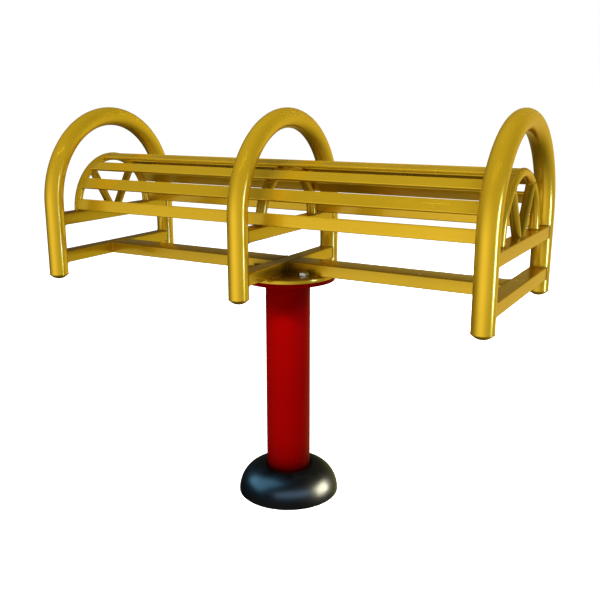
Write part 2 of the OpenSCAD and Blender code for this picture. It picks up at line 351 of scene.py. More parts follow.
def painted_corner_shade(nodes):
    """Painted shade: fills the corners where the rails cross on the round plate."""
    here = nodes.add("TexCoord", output="Object")
    height = nodes.add("SeparateXYZ", {}, {0: here}, output="Z")
    flat = nodes.add("VectorMath", {"operation": "MULTIPLY"}, {0: here, 1: (1, 1, 0)})
    radius = nodes.add("VectorMath", {"operation": "LENGTH"}, {0: flat}, output="Value")
    cloud = nodes.noise(here, 60.0, 3.0) * (24 * MM)
    near = 1.0 - (radius + cloud).over(35 * MM, 120 * MM)
    low = 1.0 - height.over(deck_high.z + 20 * MM, deck_high.z + 70 * MM)
    return near * low * 0.85


def powder_coat(name, colour, shade, metal, gloss, level, tint, coat, painted_shade):
    """Melted powder: drifting tone, orange peel, hair scratches where people sit, and painted shade."""
    material, nodes = new_finish(name)
    drift = nodes.noise(nodes.place(), 5.0, 3.0)
    peel = nodes.noise(nodes.place(), 420.0, 1.5)
    grit = nodes.noise(nodes.place(), 2600.0, 1.0)
    hairs = nodes.noise(nodes.place((4, 900, 900)), 1.0, 2.0, 0.6).over(0.66, 0.72)
    facing = nodes.add("NewGeometry", output="Normal")
    upward = nodes.add("SeparateXYZ", {}, {0: facing}, output="Z").over(0.25, 0.95)
    worn = upward * hairs * nodes.noise(nodes.place(), 9.0).over(0.42, 0.62)
    tone = nodes.colour(drift.over(0.3, 0.7), shade, colour)
    # Painted shade: where the mask is 1, the colour falls to 6 percent of itself.
    tone = nodes.colour(painted_shade(nodes), tone, tuple(0.06 * c for c in colour[:3]) + (1,))
    rubbed = tuple(0.75 * c + 0.12 for c in colour[:3]) + (1,)
    height = peel * 0.75 + grit * 0.1 - worn * 0.25
    bump = nodes.add("Bump", {}, {"Strength": 0.22, "Distance": 0.05 * MM, "Height": height})
    close_finish(nodes, {
        "Base Color": nodes.colour(worn * 0.35, tone, rubbed),
        "Metallic": metal,
        "Roughness": gloss + drift * 0.05 + worn * 0.2 + upward * 0.03,
        "Specular IOR Level": level,
        "Specular Tint": tint,
        "Coat Weight": coat,
        "Coat Roughness": 0.08,
        "Normal": bump,
    })
    return material


# The gold carries painted shade in the corners on the round plate; the red carries a painted contact
# shadow where the post meets its cover.
golden = powder_coat(
    "golden_powder_coat", colour=(0.66, 0.415, 0.014, 1), shade=(0.61, 0.385, 0.012, 1),
    metal=0.7, gloss=0.22, level=0.3, tint=(0.95, 0.62, 0.04, 1), coat=0.35, painted_shade=painted_corner_shade,
)
red = powder_coat(
    "red_powder_coat", colour=(0.31, 0.0006, 0.0005, 1), shade=(0.28, 0.0005, 0.0004, 1),
    metal=0.0, gloss=0.45, level=0.03, tint=(1, 0.02, 0.02, 1), coat=0.0, painted_shade=painted_foot_shade,
)
print("powder coats:", golden.name, red.name)

# %% [markdown]
# ## Plastic, steel, zinc, nylon and rubber
# The cover is moulded in glossy black: fine grain in the skin, soft flow marks round it, and dust
# that dulls what faces up. Bolts are zinc plated, with the small mottled crystals of the bath.
# Turned and ground steel has rings round its axis, and oil on it.


# %% Mix the other finishes
def moulded(name, colour, gloss, grain, level, dusting):
    """Moulded plastic or rubber: grain, flow marks and a trace of dust on top."""
    material, nodes = new_finish(name)
    skin = nodes.noise(nodes.place(), 700.0, 2.0)
    flow = nodes.noise(nodes.place((1, 1, 6)), 14.0, 2.0)
    facing = nodes.add("NewGeometry", output="Normal")
    upward = nodes.add("SeparateXYZ", {}, {0: facing}, output="Z").over(0.6, 1.0)
    dust = upward * nodes.noise(nodes.place(), 60.0, 4.0).over(0.4, 0.75)
    dusty = tuple(0.9 * c + dusting for c in colour[:3]) + (1,)
    bump = nodes.add("Bump", {}, {"Strength": grain, "Distance": 0.04 * MM, "Height": skin})
    close_finish(nodes, {
        "Base Color": nodes.colour(dust * 0.5, colour, dusty),
        "Roughness": gloss + flow * 0.05 + dust * 0.1,
        "Specular IOR Level": level,
        "Normal": bump,
    })
    return material


def zinc_plate(name):
    """Bright zinc: small crystals of slightly different grey, and fine pitting."""
    material, nodes = new_finish(name)
    crystal = nodes.add("TexVoronoi", {}, {"Vector": nodes.place(), "Scale": 420.0}, output="Color")
    grey = nodes.add("SeparateXYZ", {}, {0: crystal}, output="X")
    pits = nodes.noise(nodes.place(), 1500.0, 2.0)
    bump = nodes.add("Bump", {}, {"Strength": 0.25, "Distance": 0.03 * MM, "Height": pits})
    close_finish(nodes, {
        "Base Color": nodes.colour(grey, (0.34, 0.34, 0.33, 1), (0.50, 0.50, 0.48, 1)),
        "Metallic": 1.0,
        "Roughness": 0.24 + grey * 0.14,
        "Normal": bump,
    })
    return material


def turned_steel(name, colour, gloss):
    """Steel with the rings of the lathe round Z, and patches of oil."""
    material, nodes = new_finish(name)
    here = nodes.add("TexCoord", output="Object")
    across = nodes.add("VectorMath", {"operation": "MULTIPLY"}, {0: here, 1: (1, 1, 0)})
    radius = nodes.add("VectorMath", {"operation": "LENGTH"}, {0: across}, output="Value")
    height = nodes.add("SeparateXYZ", {}, {0: here}, output="Z")
    turns = nodes.add("CombineXYZ", {}, {0: radius * 3000.0, 1: height * 3000.0, 2: 0.0})
    rings = nodes.noise(turns, 1.0, 2.0)
    oil = nodes.noise(nodes.place(), 70.0, 3.0).over(0.4, 0.65)
    bump = nodes.add("Bump", {}, {"Strength": 0.3, "Distance": 0.02 * MM, "Height": rings})
    darker = tuple(0.6 * c for c in colour[:3]) + (1,)
    close_finish(nodes, {
        "Base Color": nodes.colour(oil * 0.6, colour, darker),
        "Metallic": 1.0,
        "Roughness": gloss + rings * 0.1 - oil * 0.08,
        "Normal": bump,
    })
    return material


black_plastic = moulded("glossy_black_plastic", (0.003, 0.003, 0.0034, 1), 0.3, 0.06, 0.05, 0.004)
rubber = moulded("seal_rubber", (0.016, 0.016, 0.016, 1), 0.6, 0.35, 0.5, 0.03)
nylon = moulded("cage_nylon", (0.62, 0.54, 0.36, 1), 0.42, 0.2, 0.5, 0.03)
zinc = zinc_plate("zinc_plate")
shaft_steel = turned_steel("turned_steel", (0.52, 0.53, 0.55, 1), 0.3)
bearing_steel = turned_steel("ground_steel", (0.64, 0.65, 0.67, 1), 0.14)
FINISHES = {
    "yellow_paint": golden, "red_paint": red, "cover_plastic": black_plastic,
    "shaft_steel": shaft_steel, "bearing_steel": bearing_steel, "cage_nylon": nylon,
    "seal_rubber": rubber, "bolt_zinc": zinc,
}
print("finishes:", sorted(FINISHES))

# %% [markdown]
# ## The hands of a modeller
# These are the few moves that every piece needs: let go of everything, pick faces or edges by
# where they are, grow a ring of edges through a list of sizes, cut one solid with another, and
# copy a finished shape to its next place.


# %% Define the modelling moves
def let_go():
    """Leaves edit mode and deselects everything."""
    if bpy.context.object and bpy.context.object.mode != "OBJECT":
        bpy.ops.object.mode_set(mode="OBJECT")
    bpy.ops.object.select_all(action="DESELECT")


def take(*pieces):
    """Selects these pieces only, and makes the first one active."""
    let_go()
    for piece in pieces:
        piece.select_set(True)
    bpy.context.view_layer.objects.active = pieces[0]
    return pieces[0]


def edit(piece):
    take(piece)
    bpy.ops.object.mode_set(mode="EDIT")
    bpy.ops.mesh.select_all(action="SELECT")
    return piece


def settle(piece):
    """Puts a piece's place, turn and scale into its mesh."""
    take(piece)
    bpy.ops.object.transform_apply(location=True, rotation=True, scale=True)
    return piece


def pick_faces(piece, test):
    """Selects, in edit mode, the faces whose middle and normal pass the test."""
    bpy.ops.mesh.select_mode(type="FACE")
    bpy.ops.mesh.select_all(action="DESELECT")
    mesh = bmesh.from_edit_mesh(piece.data)
    for face in mesh.faces:
        face.select_set(test(face.calc_center_median(), face.normal))
    bmesh.update_edit_mesh(piece.data)


def pick_edges(piece, test):
    """Selects, in edit mode, the edges whose two ends pass the test."""
    bpy.ops.mesh.select_mode(type="EDGE")
    bpy.ops.mesh.select_all(action="DESELECT")
    mesh = bmesh.from_edit_mesh(piece.data)
    for edge in mesh.edges:
        edge.select_set(test(edge.verts[0].co, edge.verts[1].co))
    bmesh.update_edit_mesh(piece.data)


def start_ring(radius, centre, sides, fill="NOTHING", turn=(0, 0, 0)):
    """A new circle in edit mode, all selected, with its place already in the mesh."""
    let_go()
    bpy.ops.mesh.primitive_circle_add(
        vertices=sides, radius=radius, fill_type=fill, location=centre, rotation=turn
    )
    return edit(settle(bpy.context.object))


def extrude(step):
    bpy.ops.mesh.extrude_region_move(TRANSFORM_OT_translate={"value": tuple(step)})


def grow(centre, rings):
    """Extrudes the selected ring through (radius, height) pairs, the first of which it has now."""
    for before, after in zip(rings, rings[1:]):
        extrude((0, 0, after[1] - before[1]))
        share = after[0] / before[0]
        bpy.ops.transform.resize(
            value=(share, share, 1), center_override=(centre[0], centre[1], after[1])
        )


def tidy_shell(piece, bowl=False):
    """Merges doubles and points every face outwards. An open bowl comes out the other way round."""
    edit(piece)
    bpy.ops.mesh.remove_doubles(threshold=0.002 * MM)
    bpy.ops.mesh.normals_make_consistent(inside=bowl)
    let_go()
    return piece


def apply_modifier(piece, kind, **settings):
    take(piece)
    modifier = piece.modifiers.new(kind.lower(), kind)
    for name, value in settings.items():
        setattr(modifier, name, value)
    bpy.ops.object.modifier_apply(modifier=modifier.name)
    return piece


def thicken(piece, wall):
    """Gives an open skin its wall, inwards."""
    return apply_modifier(piece, "SOLIDIFY", thickness=wall, offset=-1, use_even_offset=True)


def cut(piece, cutter, operation="DIFFERENCE"):
    """Cuts one solid out of another, and uses the cutter up."""
    apply_modifier(piece, "BOOLEAN", object=cutter, operation=operation, solver="EXACT")
    discard(cutter)
    return piece


def drill(radius, bottom, top, spots, sides=48):
    """One cutter made of upright cylinders, one at each spot."""
    made = []
    for x, y in spots:
        let_go()
        bpy.ops.mesh.primitive_cylinder_add(
            vertices=sides, radius=radius, depth=top - bottom, location=(x, y, (top + bottom) / 2)
        )
        made.append(settle(bpy.context.object))
    return joined(made)


def joined(pieces):
    take(*pieces)
    if len(pieces) > 1:
        bpy.ops.object.join()
    return bpy.context.object


def copied(piece, move):
    """A copy with a mesh of its own, moved by a matrix that is then put into the mesh."""
    twin = piece.copy()
    twin.data = piece.data.copy()
    bpy.context.collection.objects.link(twin)
    twin.matrix_world = move
    return settle(twin)


def shifted(piece, x=0.0, y=0.0, z=0.0):
    return copied(piece, Matrix.Translation((x, y, z)))


def turned(piece, degrees, axis, about=(0, 0, 0)):
    there = Matrix.Translation(about)
    return copied(piece, there @ Matrix.Rotation(math.radians(degrees), 4, axis) @ there.inverted())


def discard(*pieces):
    for piece in pieces:
        bpy.data.objects.remove(piece)


def hand_over(piece, name, body, slot, *nodes, smooth=32):
    """Names a finished piece, gives it its finish and body, and hides the nodes it stands for."""
    take(piece)
    bpy.ops.object.shade_smooth_by_angle(angle=math.radians(smooth))
    piece.name = name
    piece.data.name = name
    piece.data.materials.clear()
    piece.data.materials.append(FINISHES[slot])
    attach(piece, body)
    if nodes:
        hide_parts(*nodes)
    print(f"{name}: {len(piece.data.polygons)} faces on {body}")
    return piece


print("modelling moves ready")

# %% [markdown]
# ## Hoops
# A hoop is one length of steel tube, bent through half a circle with two straight legs. A ring of
# edges is extruded up a leg, spun over the bend and extruded down the other leg, the way the tube
# goes round the bending die, and Solidify gives it the wall. It is made once and copied along.

# %% Bend the hoops
HOOP_SIDES = 72
BEND_STEPS = 72


def bent_tube(tube_r, bend_r, bend_z, foot_z, wall, sides, steps):
    """A tube that rises at +Y, bends over the X axis and comes down at -Y."""
    piece = start_ring(tube_r, (0, bend_r, foot_z), sides)
    if bend_z > foot_z:
        extrude((0, 0, bend_z - foot_z))
    bpy.ops.mesh.spin(steps=steps, angle=math.pi, center=(0, 0, bend_z), axis=(-1, 0, 0))
    if bend_z > foot_z:
        extrude((0, 0, foot_z - bend_z))
    return thicken(tidy_shell(piece), wall)


hoop = bent_tube(hoop_tube_r, hoop_r, hoop_bend_z, leg_bottom_z, HOOP_WALL, HOOP_SIDES, BEND_STEPS)
for side, x in SIDES.items():
    hand_over(
        shifted(hoop, x), f"{side}_hoop_tube", "carousel", "yellow_paint", f"{side}_hoop"
    )
discard(hoop)

# %% [markdown]
# ## Caps on the legs
# Every leg ends in a pressed steel cap, welded on and ground smooth, because an open tube is a
# finger trap. The cap is a ring grown inwards and downwards along a shallow sphere and closed at
# the pole.

# %% Press the caps
CAP_STEPS = 10
CAP_LAST_RING = 0.97
CAP_WALL = 3 * MM
cap_h = leg_bottom_z - cap_bottom_z
cap_sphere_r = (hoop_tube_r**2 + cap_h**2) / (2 * cap_h)
cap_angle = math.asin(hoop_tube_r / cap_sphere_r)


def cap_ring(share):
    """Radius and height of a ring on the cap: share is 0 at the rim and 1 at the pole."""
    angle = cap_angle * (1 - share)
    radius = cap_sphere_r * math.sin(angle)
    return radius, cap_bottom_z + cap_sphere_r * (1 - math.cos(angle))


cap = start_ring(hoop_tube_r, (0, hoop_r, leg_bottom_z), HOOP_SIDES)
grow((0, hoop_r), [cap_ring(CAP_LAST_RING * step / CAP_STEPS) for step in range(CAP_STEPS + 1)])
extrude((0, 0, 0))
bpy.ops.mesh.merge(type="CENTER")
thicken(tidy_shell(cap, bowl=True), CAP_WALL)
for side, x in SIDES.items():
    pair = [shifted(cap, x), shifted(cap, x, -2 * hoop_r)]
    hand_over(
        joined(pair), f"{side}_leg_caps", "carousel", "yellow_paint", f"{side}_hoop_caps"
    )
discard(cap)

# %% [markdown]
# ## Rails
# The frame is rectangular tube with rounded corners. A box is opened at both ends, its long edges
# are bevelled and the skin is given a wall. The cross rails are coped, which means that each end
# is cut to the round of the leg it meets. A cylinder as thick as the leg does that cut.

# %% Cut and cope the rails
CORNER_STEPS = 4


def rail_tube(low, high, axis):
    """An open rectangular tube that fills a box and runs along X (0) or Y (1)."""
    let_go()
    bpy.ops.mesh.primitive_cube_add(size=1, location=(low + high) / 2)
    piece = bpy.context.object
    piece.scale = high - low
    edit(settle(piece))
    pick_faces(piece, lambda place, normal: abs(normal[axis]) > 0.9)
    bpy.ops.mesh.delete(type="ONLY_FACE")
    pick_edges(piece, lambda a, b: abs((a - b).normalized()[axis]) > 0.9)
    bpy.ops.mesh.bevel(offset=RAIL_CORNER, segments=CORNER_STEPS, affect="EDGES")
    return thicken(tidy_shell(piece), RAIL_WALL)


cross_rail = rail_tube(rail_low, rail_high, 1)
cut(cross_rail, drill(hoop_tube_r, rail_low.z - PAST, rail_high.z + PAST,
                      [(0, hoop_r), (0, -hoop_r)], HOOP_SIDES))
for side, x in SIDES.items():
    hand_over(shifted(cross_rail, x), f"{side}_cross_rail_lower", "carousel", "yellow_paint",
              f"{side}_lower_rail")
    hand_over(shifted(cross_rail, x, 0, upper_rail_z - rail_low.z), f"{side}_cross_rail_upper",
              "carousel", "yellow_paint", f"{side}_upper_rail")
discard(cross_rail)

spine = rail_tube(spine_low, spine_high, 0)
hand_over(shifted(spine, -2 * spine_middle.x), "left_spine_tube", "carousel", "yellow_paint",
          "left_spine_rail")
hand_over(spine, "right_spine_tube", "carousel", "yellow_paint", "right_spine_rail")

# %% [markdown]
# ## Arches
# Three half rings of small tube carry the bars. They stand on the upper cross rails. The end ones
# show between the ends of the bars, and the middle one is a little thicker and smaller, so that
# the bars run over it.

# %% Bend the arches
ARCH_SIDES = 40
ARCH_STEPS = 72
end_arch = bent_tube(arch_tube_r, arch_r, barrel_z, barrel_z, ARCH_WALL, ARCH_SIDES, ARCH_STEPS)
for side in ("left", "right"):
    hand_over(shifted(end_arch, SIDES[side]), f"{side}_arch_tube", "carousel", "yellow_paint",
              f"{side}_arch")
discard(end_arch)
middle_arch = bent_tube(
    middle_arch_tube_r, middle_arch_r, barrel_z, barrel_z, ARCH_WALL, ARCH_SIDES, ARCH_STEPS
)
hand_over(middle_arch, "middle_arch_tube", "carousel", "yellow_paint", "middle_arch")


def arch_cutter(x):
    """The end arch as a solid bar, to cope what meets it."""
    piece = start_ring(arch_tube_r, (x, arch_r, barrel_z), ARCH_SIDES, fill="NGON")
    bpy.ops.mesh.spin(
        steps=ARCH_STEPS, angle=math.pi, center=(x, 0, barrel_z), axis=(-1, 0, 0)
    )
    return tidy_shell(piece)


# %% [markdown]
# ## Bars of the barrel
# A bar is flat steel with its long edges rounded a little. One is made lying on top of the barrel:
# a box, with its four long edges bevelled, coped at both ends to the end arches.
# The others are copies, turned about the barrel's axis to where the frame has them.

# %% Roll the bars
EDGE_STEPS = 6
slat_middle = box_of("slat_1")[2]
barrel_r = math.hypot(slat_middle.y, slat_middle.z - barrel_z) + SLAT_THICK / 2

let_go()
bpy.ops.mesh.primitive_cube_add(size=1, location=(0, 0, barrel_z + barrel_r - SLAT_THICK / 2))
slat = bpy.context.object
slat.scale = (2 * end_x, SLAT_WIDTH, SLAT_THICK)
edit(settle(slat))
pick_edges(slat, lambda a, b: abs((a - b).normalized().x) > 0.9)
bpy.ops.mesh.bevel(offset=SLAT_EDGE, segments=EDGE_STEPS, affect="EDGES")
tidy_shell(slat)
cut(slat, arch_cutter(end_x))
cut(slat, arch_cutter(-end_x))
slat_angles = {}
for number in range(1, 9):
    middle = box_of(f"slat_{number}")[2]
    slat_angles[number] = math.degrees(math.atan2(-middle.y, middle.z - barrel_z))
    hand_over(
        turned(slat, slat_angles[number], "X", (0, 0, barrel_z)),
        f"bar_{number}", "carousel", "yellow_paint", f"slat_{number}",
    )
discard(slat)
print("bars at", [round(a, 1) for a in slat_angles.values()])

# %% [markdown]
# ## V braces
# Two struts rise from the middle of each upper end rail and lean out to the arch. A strut is a
# tube: its foot is cut off level with bisect, and its head is coped to the arch.

# %% Set up the V braces
STRUT_FOOT_Y = 13 * MM
STRUT_LEAN = math.radians(31)
STRUT_SIDES = 40
strut_direction = Vector((0, math.sin(STRUT_LEAN), math.cos(STRUT_LEAN)))
strut_foot = Vector((end_x, STRUT_FOOT_Y, barrel_z))
STRUT_RUN = 20 * MM
BEYOND_HALF = 50 * MM
HOLE_HALF = 60 * MM
SIDEWAYS = (0, math.pi / 2, 0)

strut = start_ring(arch_tube_r, (0, 0, 0), STRUT_SIDES)
extrude((0, 0, arch_r + STRUT_RUN))
tidy_shell(strut)
strut.rotation_euler = (-STRUT_LEAN, 0, 0)
strut.location = strut_foot - strut_direction * STRUT_RUN
thicken(settle(strut), ARCH_WALL)
edit(strut)
bpy.ops.mesh.bisect(
    plane_co=(0, 0, barrel_z), plane_no=(0, 0, 1), use_fill=True, clear_inner=True
)
let_go()
beyond = start_ring(
    arch_r * 1.5, (end_x - BEYOND_HALF, 0, barrel_z), FINE_SIDES, "NGON", SIDEWAYS
)
extrude((2 * BEYOND_HALF, 0, 0))
tidy_shell(beyond)
hole = start_ring(arch_r, (end_x - HOLE_HALF, 0, barrel_z), FINE_SIDES, "NGON", SIDEWAYS)
extrude((2 * HOLE_HALF, 0, 0))
tidy_shell(hole)
cut(cut(strut, cut(beyond, hole)), arch_cutter(end_x))
pair = joined([strut, turned(strut, 180, "Z", (end_x, 0, 0))])
hand_over(shifted(pair, -2 * end_x), "left_v_struts", "carousel", "yellow_paint", "left_v_brace")
hand_over(pair, "right_v_struts", "carousel", "yellow_paint", "right_v_brace")

# %% [markdown]
# ## Turntable
# Two round steel plates make the joint: the red flange, welded to the spindle that turns in the
# post, and the golden plate that the bench frame is welded to. They are discs, extruded up from a
# filled circle, with their rims bevelled and the bolt holes drilled. The golden plate's top edge
# is rounded well, because hands reach it.

# %% Turn the plates and drill them
DISC_SIDES = 160
DECK_RIM = 5 * MM
FINE_CHAMFER = 0.8 * MM
BOLT_HOLE_R = 8.75 * MM
BOLT_R = 8 * MM
WASHER_R = 15 * MM
washer_x = washer_high.x - WASHER_R
washer_y = washer_high.y - WASHER_R
bolt_spots = [(sx * washer_x, sy * washer_y) for sx in (-1, 1) for sy in (-1, 1)]


def disc(low, high, top_rim, top_steps):
    """A round plate that fills a box, with its two rims bevelled."""
    radius = high.x
    piece = start_ring(radius, (0, 0, low.z), DISC_SIDES, fill="NGON")
    extrude((0, 0, high.z - low.z))
    tidy_shell(piece)
    for z, offset, steps in ((high.z, top_rim, top_steps), (low.z, FINE_CHAMFER, 2)):
        edit(piece)
        pick_edges(piece, lambda a, b: abs(a.z - z) < 1e-5 and abs(b.z - z) < 1e-5)
        bpy.ops.mesh.bevel(offset=offset, segments=steps, affect="EDGES")
        let_go()
    return piece


deck = disc(deck_low, deck_high, DECK_RIM, 8)
cut(deck, drill(BOLT_HOLE_R, deck_low.z - PAST, deck_high.z + PAST, bolt_spots))
hand_over(deck, "bench_plate", "carousel", "yellow_paint", "turntable_plate")

SPINDLE_TOP_R = 25.05 * MM
flange = disc(flange_low, flange_high, FINE_CHAMFER, 2)
cut(flange, drill(SPINDLE_TOP_R, flange_low.z - PAST, flange_high.z + PAST, [(0, 0)], FINE_SIDES))
cut(flange, drill(BOLT_R + 0.05 * MM, flange_low.z - PAST, flange_high.z + PAST, bolt_spots))
hand_over(flange, "red_turning_plate", "carousel", "red_paint", "turning_flange")

# %% [markdown]
# ## Bolts and washers
# Four hexagon bolts hold the plates together. The head is a six-sided prism. Its corners are taken
# off by a cone, as a lathe does it, and a thin round washer face is left below. The shank gets
# the ridges of its thread. A washer is a flat ring with broken edges.

# %% Make the bolts
bolt_low, bolt_high, _ = box_of("flange_bolts")
BOLT_AF = 24 * MM
THREAD_PITCH = 2 * MM
THREAD_DEPTH = 0.9 * MM
CONE_SPREAD = 16 * MM
WASHER_FACE_H = 0.5 * MM
FIRST_TURN = 0.2
NEXT_TURN = 0.3
head_r = BOLT_AF / math.sqrt(3)
head_h = bolt_high.z - washer_high.z
head_z = washer_high.z

head = start_ring(head_r, (0, 0, head_z + WASHER_FACE_H), 6, fill="NGON")
extrude((0, 0, head_h - WASHER_FACE_H))
tidy_shell(head)
let_go()
bpy.ops.mesh.primitive_cone_add(
    vertices=FINE_SIDES, radius1=BOLT_AF / 2 + CONE_SPREAD, radius2=BOLT_AF / 2 - 0.4 * MM,
    depth=head_h, location=(0, 0, head_z + head_h / 2),
)
cut(head, settle(bpy.context.object), operation="INTERSECT")
apply_modifier(head, "BEVEL", width=0.25 * MM, segments=2, limit_method="ANGLE")
face = start_ring(BOLT_AF / 2 - 0.5 * MM, (0, 0, head_z), 64, fill="NGON")
extrude((0, 0, WASHER_FACE_H))
tidy_shell(face)
shank = start_ring(BOLT_R - THREAD_DEPTH, (0, 0, bolt_low.z), 40, fill="NGON")
ridges = int((head_z - bolt_low.z) / THREAD_PITCH)
rings = [(BOLT_R - THREAD_DEPTH, bolt_low.z)]
for ridge in range(ridges):
    z = bolt_low.z + ridge * THREAD_PITCH
    rings += [(BOLT_R, z + THREAD_PITCH / 2), (BOLT_R - THREAD_DEPTH, z + THREAD_PITCH)]
grow((0, 0), rings)
tidy_shell(shank)
bolt = joined([head, face, shank])
bolts = []
for number, (x, y) in enumerate(bolt_spots):
    turn = Matrix.Rotation(FIRST_TURN + NEXT_TURN * number, 4, "Z")
    bolts.append(copied(bolt, Matrix.Translation((x, y, 0)) @ turn))
hand_over(joined(bolts), "hex_bolts", "carousel", "bolt_zinc", "flange_bolts")
discard(bolt)

washer = start_ring(WASHER_R, (0, 0, washer_low.z), 64, fill="NGON")
extrude((0, 0, washer_high.z - washer_low.z))
tidy_shell(washer)
cut(washer, drill(BOLT_R + 0.5 * MM, washer_low.z - PAST, washer_high.z + PAST, [(0, 0)]))
apply_modifier(washer, "BEVEL", width=0.35 * MM, segments=3, limit_method="ANGLE")
hand_over(joined([shifted(washer, x, y) for x, y in bolt_spots]),
          "flat_washers", "carousel", "bolt_zinc", "bolt_washers")
discard(washer)

# %% [markdown]
# ## Post and cover
# The column is plain round tube. The cover is a blow-moulded shell like half a tyre that slides
# down the column and hides the base plate and its nuts: its section is a quarter of an ellipse up
# to the crest and a short roll down to the column. The ring is grown up that section.

# %% Make the column and its cover
COLUMN_WALL = 4 * MM
COLUMN_SIDES = 128
COVER_CREST_R = 69 * MM
COVER_DROP = 6 * MM
COVER_WALL = 3 * MM
COVER_STEPS = 28
ROLL_STEPS = 8
column_r = column_high.x
cover_r = cover_high.x
cover_h = cover_high.z
lip_r = column_r + 0.4 * MM

column = start_ring(column_r, (0, 0, column_low.z), COLUMN_SIDES)
extrude((0, 0, column_high.z - column_low.z))
thicken(tidy_shell(column), COLUMN_WALL)
apply_modifier(column, "BEVEL", width=0.5 * MM, segments=2, limit_method="ANGLE")
hand_over(column, "post_column", "post", "red_paint", "column_tube")


def cover_section():
    """Radius and height up the outside of the cover, over its crest and down to its lip."""
    section = []
    for step in range(COVER_STEPS + 1):
        angle = math.pi / 2 * step / COVER_STEPS
        section.append((COVER_CREST_R + (cover_r - COVER_CREST_R) * math.cos(angle),
                        cover_h * math.sin(angle)))
    for step in range(1, ROLL_STEPS + 1):
        angle = math.pi / 2 * step / ROLL_STEPS
        section.append((COVER_CREST_R - (COVER_CREST_R - lip_r) * math.sin(angle),
                        cover_h - COVER_DROP * (1 - math.cos(angle))))
    return section


cover = start_ring(cover_r, (0, 0, 0), DISC_SIDES)
grow((0, 0), cover_section())
thicken(tidy_shell(cover), COVER_WALL)
hand_over(cover, "foot_cover", "post", "cover_plastic", "base_cover", smooth=50)

# %% [markdown]
# ## Welds
# Every joint of the frame is welded, and a weld is never a clean corner: it is a bead with ripples
# where the pool froze. A bead is a curve laid along the seam, with a round bevel whose radius
# rises and falls, turned into a mesh. Seams are worked out from the shapes that meet there.


# %% Define the bead
BEAD_PITCH = 2.6 * MM
BEAD_POINTS_PER_RIPPLE = 4
RIPPLE_RISE = 0.13
BEAD_END_SHARE = 0.6


def spaced(points, closed):
    """The same path with a point every quarter of a ripple."""
    path = points + points[:1] if closed else points
    lengths = [(b - a).length for a, b in zip(path, path[1:])]
    whole = sum(lengths)
    count = max(4, round(whole / BEAD_PITCH) * BEAD_POINTS_PER_RIPPLE)
    made, leg, walked = [], 0, 0.0
    for number in range(count if closed else count + 1):
        target = whole * number / count
        while leg < len(lengths) - 1 and walked + lengths[leg] < target:
            walked += lengths[leg]
            leg += 1
        share = (target - walked) / lengths[leg] if lengths[leg] else 0
        made.append(path[leg].lerp(path[leg + 1], min(1.0, share)))
    return made


def bead(points, radius, closed=False):
    """A rippled bead of weld along a seam."""
    points = spaced([Vector(p) for p in points], closed)
    curve = bpy.data.curves.new("bead", "CURVE")
    curve.dimensions = "3D"
    curve.bevel_depth = radius
    curve.bevel_resolution = 1
    curve.use_fill_caps = True
    run = curve.splines.new("POLY")
    run.points.add(len(points) - 1)
    run.use_cyclic_u = closed
    for number, point in enumerate(points):
        run.points[number].co = (*point, 1)
        ripple = math.sin(2 * math.pi * number / BEAD_POINTS_PER_RIPPLE)
        run.points[number].radius = 1 + RIPPLE_RISE * ripple
        if not closed and number in (0, len(points) - 1):
            run.points[number].radius = BEAD_END_SHARE
    piece = bpy.data.objects.new("bead", curve)
    bpy.context.collection.objects.link(piece)
    take(piece)
    bpy.ops.object.convert(target="MESH")
    return tidy_shell(bpy.context.object)


# %% [markdown]
# The rail's bead follows its outline over the round of the leg. The arch's bead is a plain ring,
# and the one round a bar's end follows the bar's section over the arch. A leaning strut meets the
# rail in an ellipse and the arch in a saddle. The saddle is found by halving, along the strut's
# sides, the stretch in which they touch the arch.

# %% Lay the beads of one end frame
FILLET = 2.0 * MM
SMALL_FILLET = 1.4 * MM
GROUND_BEAD = 0.7 * MM
ROUND_STEPS = 64


def rounded_outline(width, height, corner, steps=5):
    """Points round a rectangle with round corners, about its middle."""
    points = []
    for quarter, (sx, sy) in enumerate(((1, 1), (-1, 1), (-1, -1), (1, -1))):
        for step in range(steps + 1):
            angle = math.pi / 2 * (quarter + step / steps)
            points.append((sx * (width / 2 - corner) + corner * math.cos(angle),
                           sy * (height / 2 - corner) + corner * math.sin(angle)))
    return points


def cope_bead(z):
    """Round the end of a cross rail, on the leg at +Y."""
    middle_z = z + (rail_high.z - rail_low.z) / 2
    outline = rounded_outline(rail_high.x - rail_low.x, rail_high.z - rail_low.z, RAIL_CORNER)
    return bead(
        [(x, hoop_r - math.sqrt(hoop_tube_r**2 - x**2), middle_z + dz)
         for x, dz in spread(outline)],
        FILLET, closed=True,
    )


def spread(outline, gap=2 * MM):
    """The outline with its long straight sides divided."""
    points = []
    for a, b in zip(outline, outline[1:] + outline[:1]):
        parts = max(1, math.ceil(math.dist(a, b) / gap))
        points += [(a[0] + (b[0] - a[0]) * i / parts, a[1] + (b[1] - a[1]) * i / parts)
                   for i in range(parts)]
    return points


def ring_bead(centre, radius, size, stretch=1.0):
    """A level ring, stretched across the bench where the tube leans."""
    turns = [2 * math.pi * step / ROUND_STEPS for step in range(ROUND_STEPS)]
    return bead(
        [(centre[0] + radius * math.cos(a), centre[1] + radius * stretch * math.sin(a), centre[2])
         for a in turns],
        size, closed=True,
    )


def strut_head_bead():
    """Where the leaning strut at +Y meets the arch."""
    side_a, side_b = Vector((1, 0, 0)), strut_direction.cross(Vector((1, 0, 0)))
    points = []
    for step in range(ROUND_STEPS):
        angle = 2 * math.pi * step / ROUND_STEPS
        start = strut_foot - Vector((end_x, 0, 0))
        start = start + arch_tube_r * (math.cos(angle) * side_a + math.sin(angle) * side_b)
        low, high = arch_r * 0.5, arch_r
        for _ in range(24):
            half = (low + high) / 2
            at = start + strut_direction * half
            from_axis = math.hypot(at.y, at.z - barrel_z) - arch_r
            outside = math.hypot(at.x, from_axis) > arch_tube_r and from_axis < 0
            low, high = (half, high) if outside else (low, half)
        points.append(start + strut_direction * low)
    return bead(points, SMALL_FILLET, closed=True)


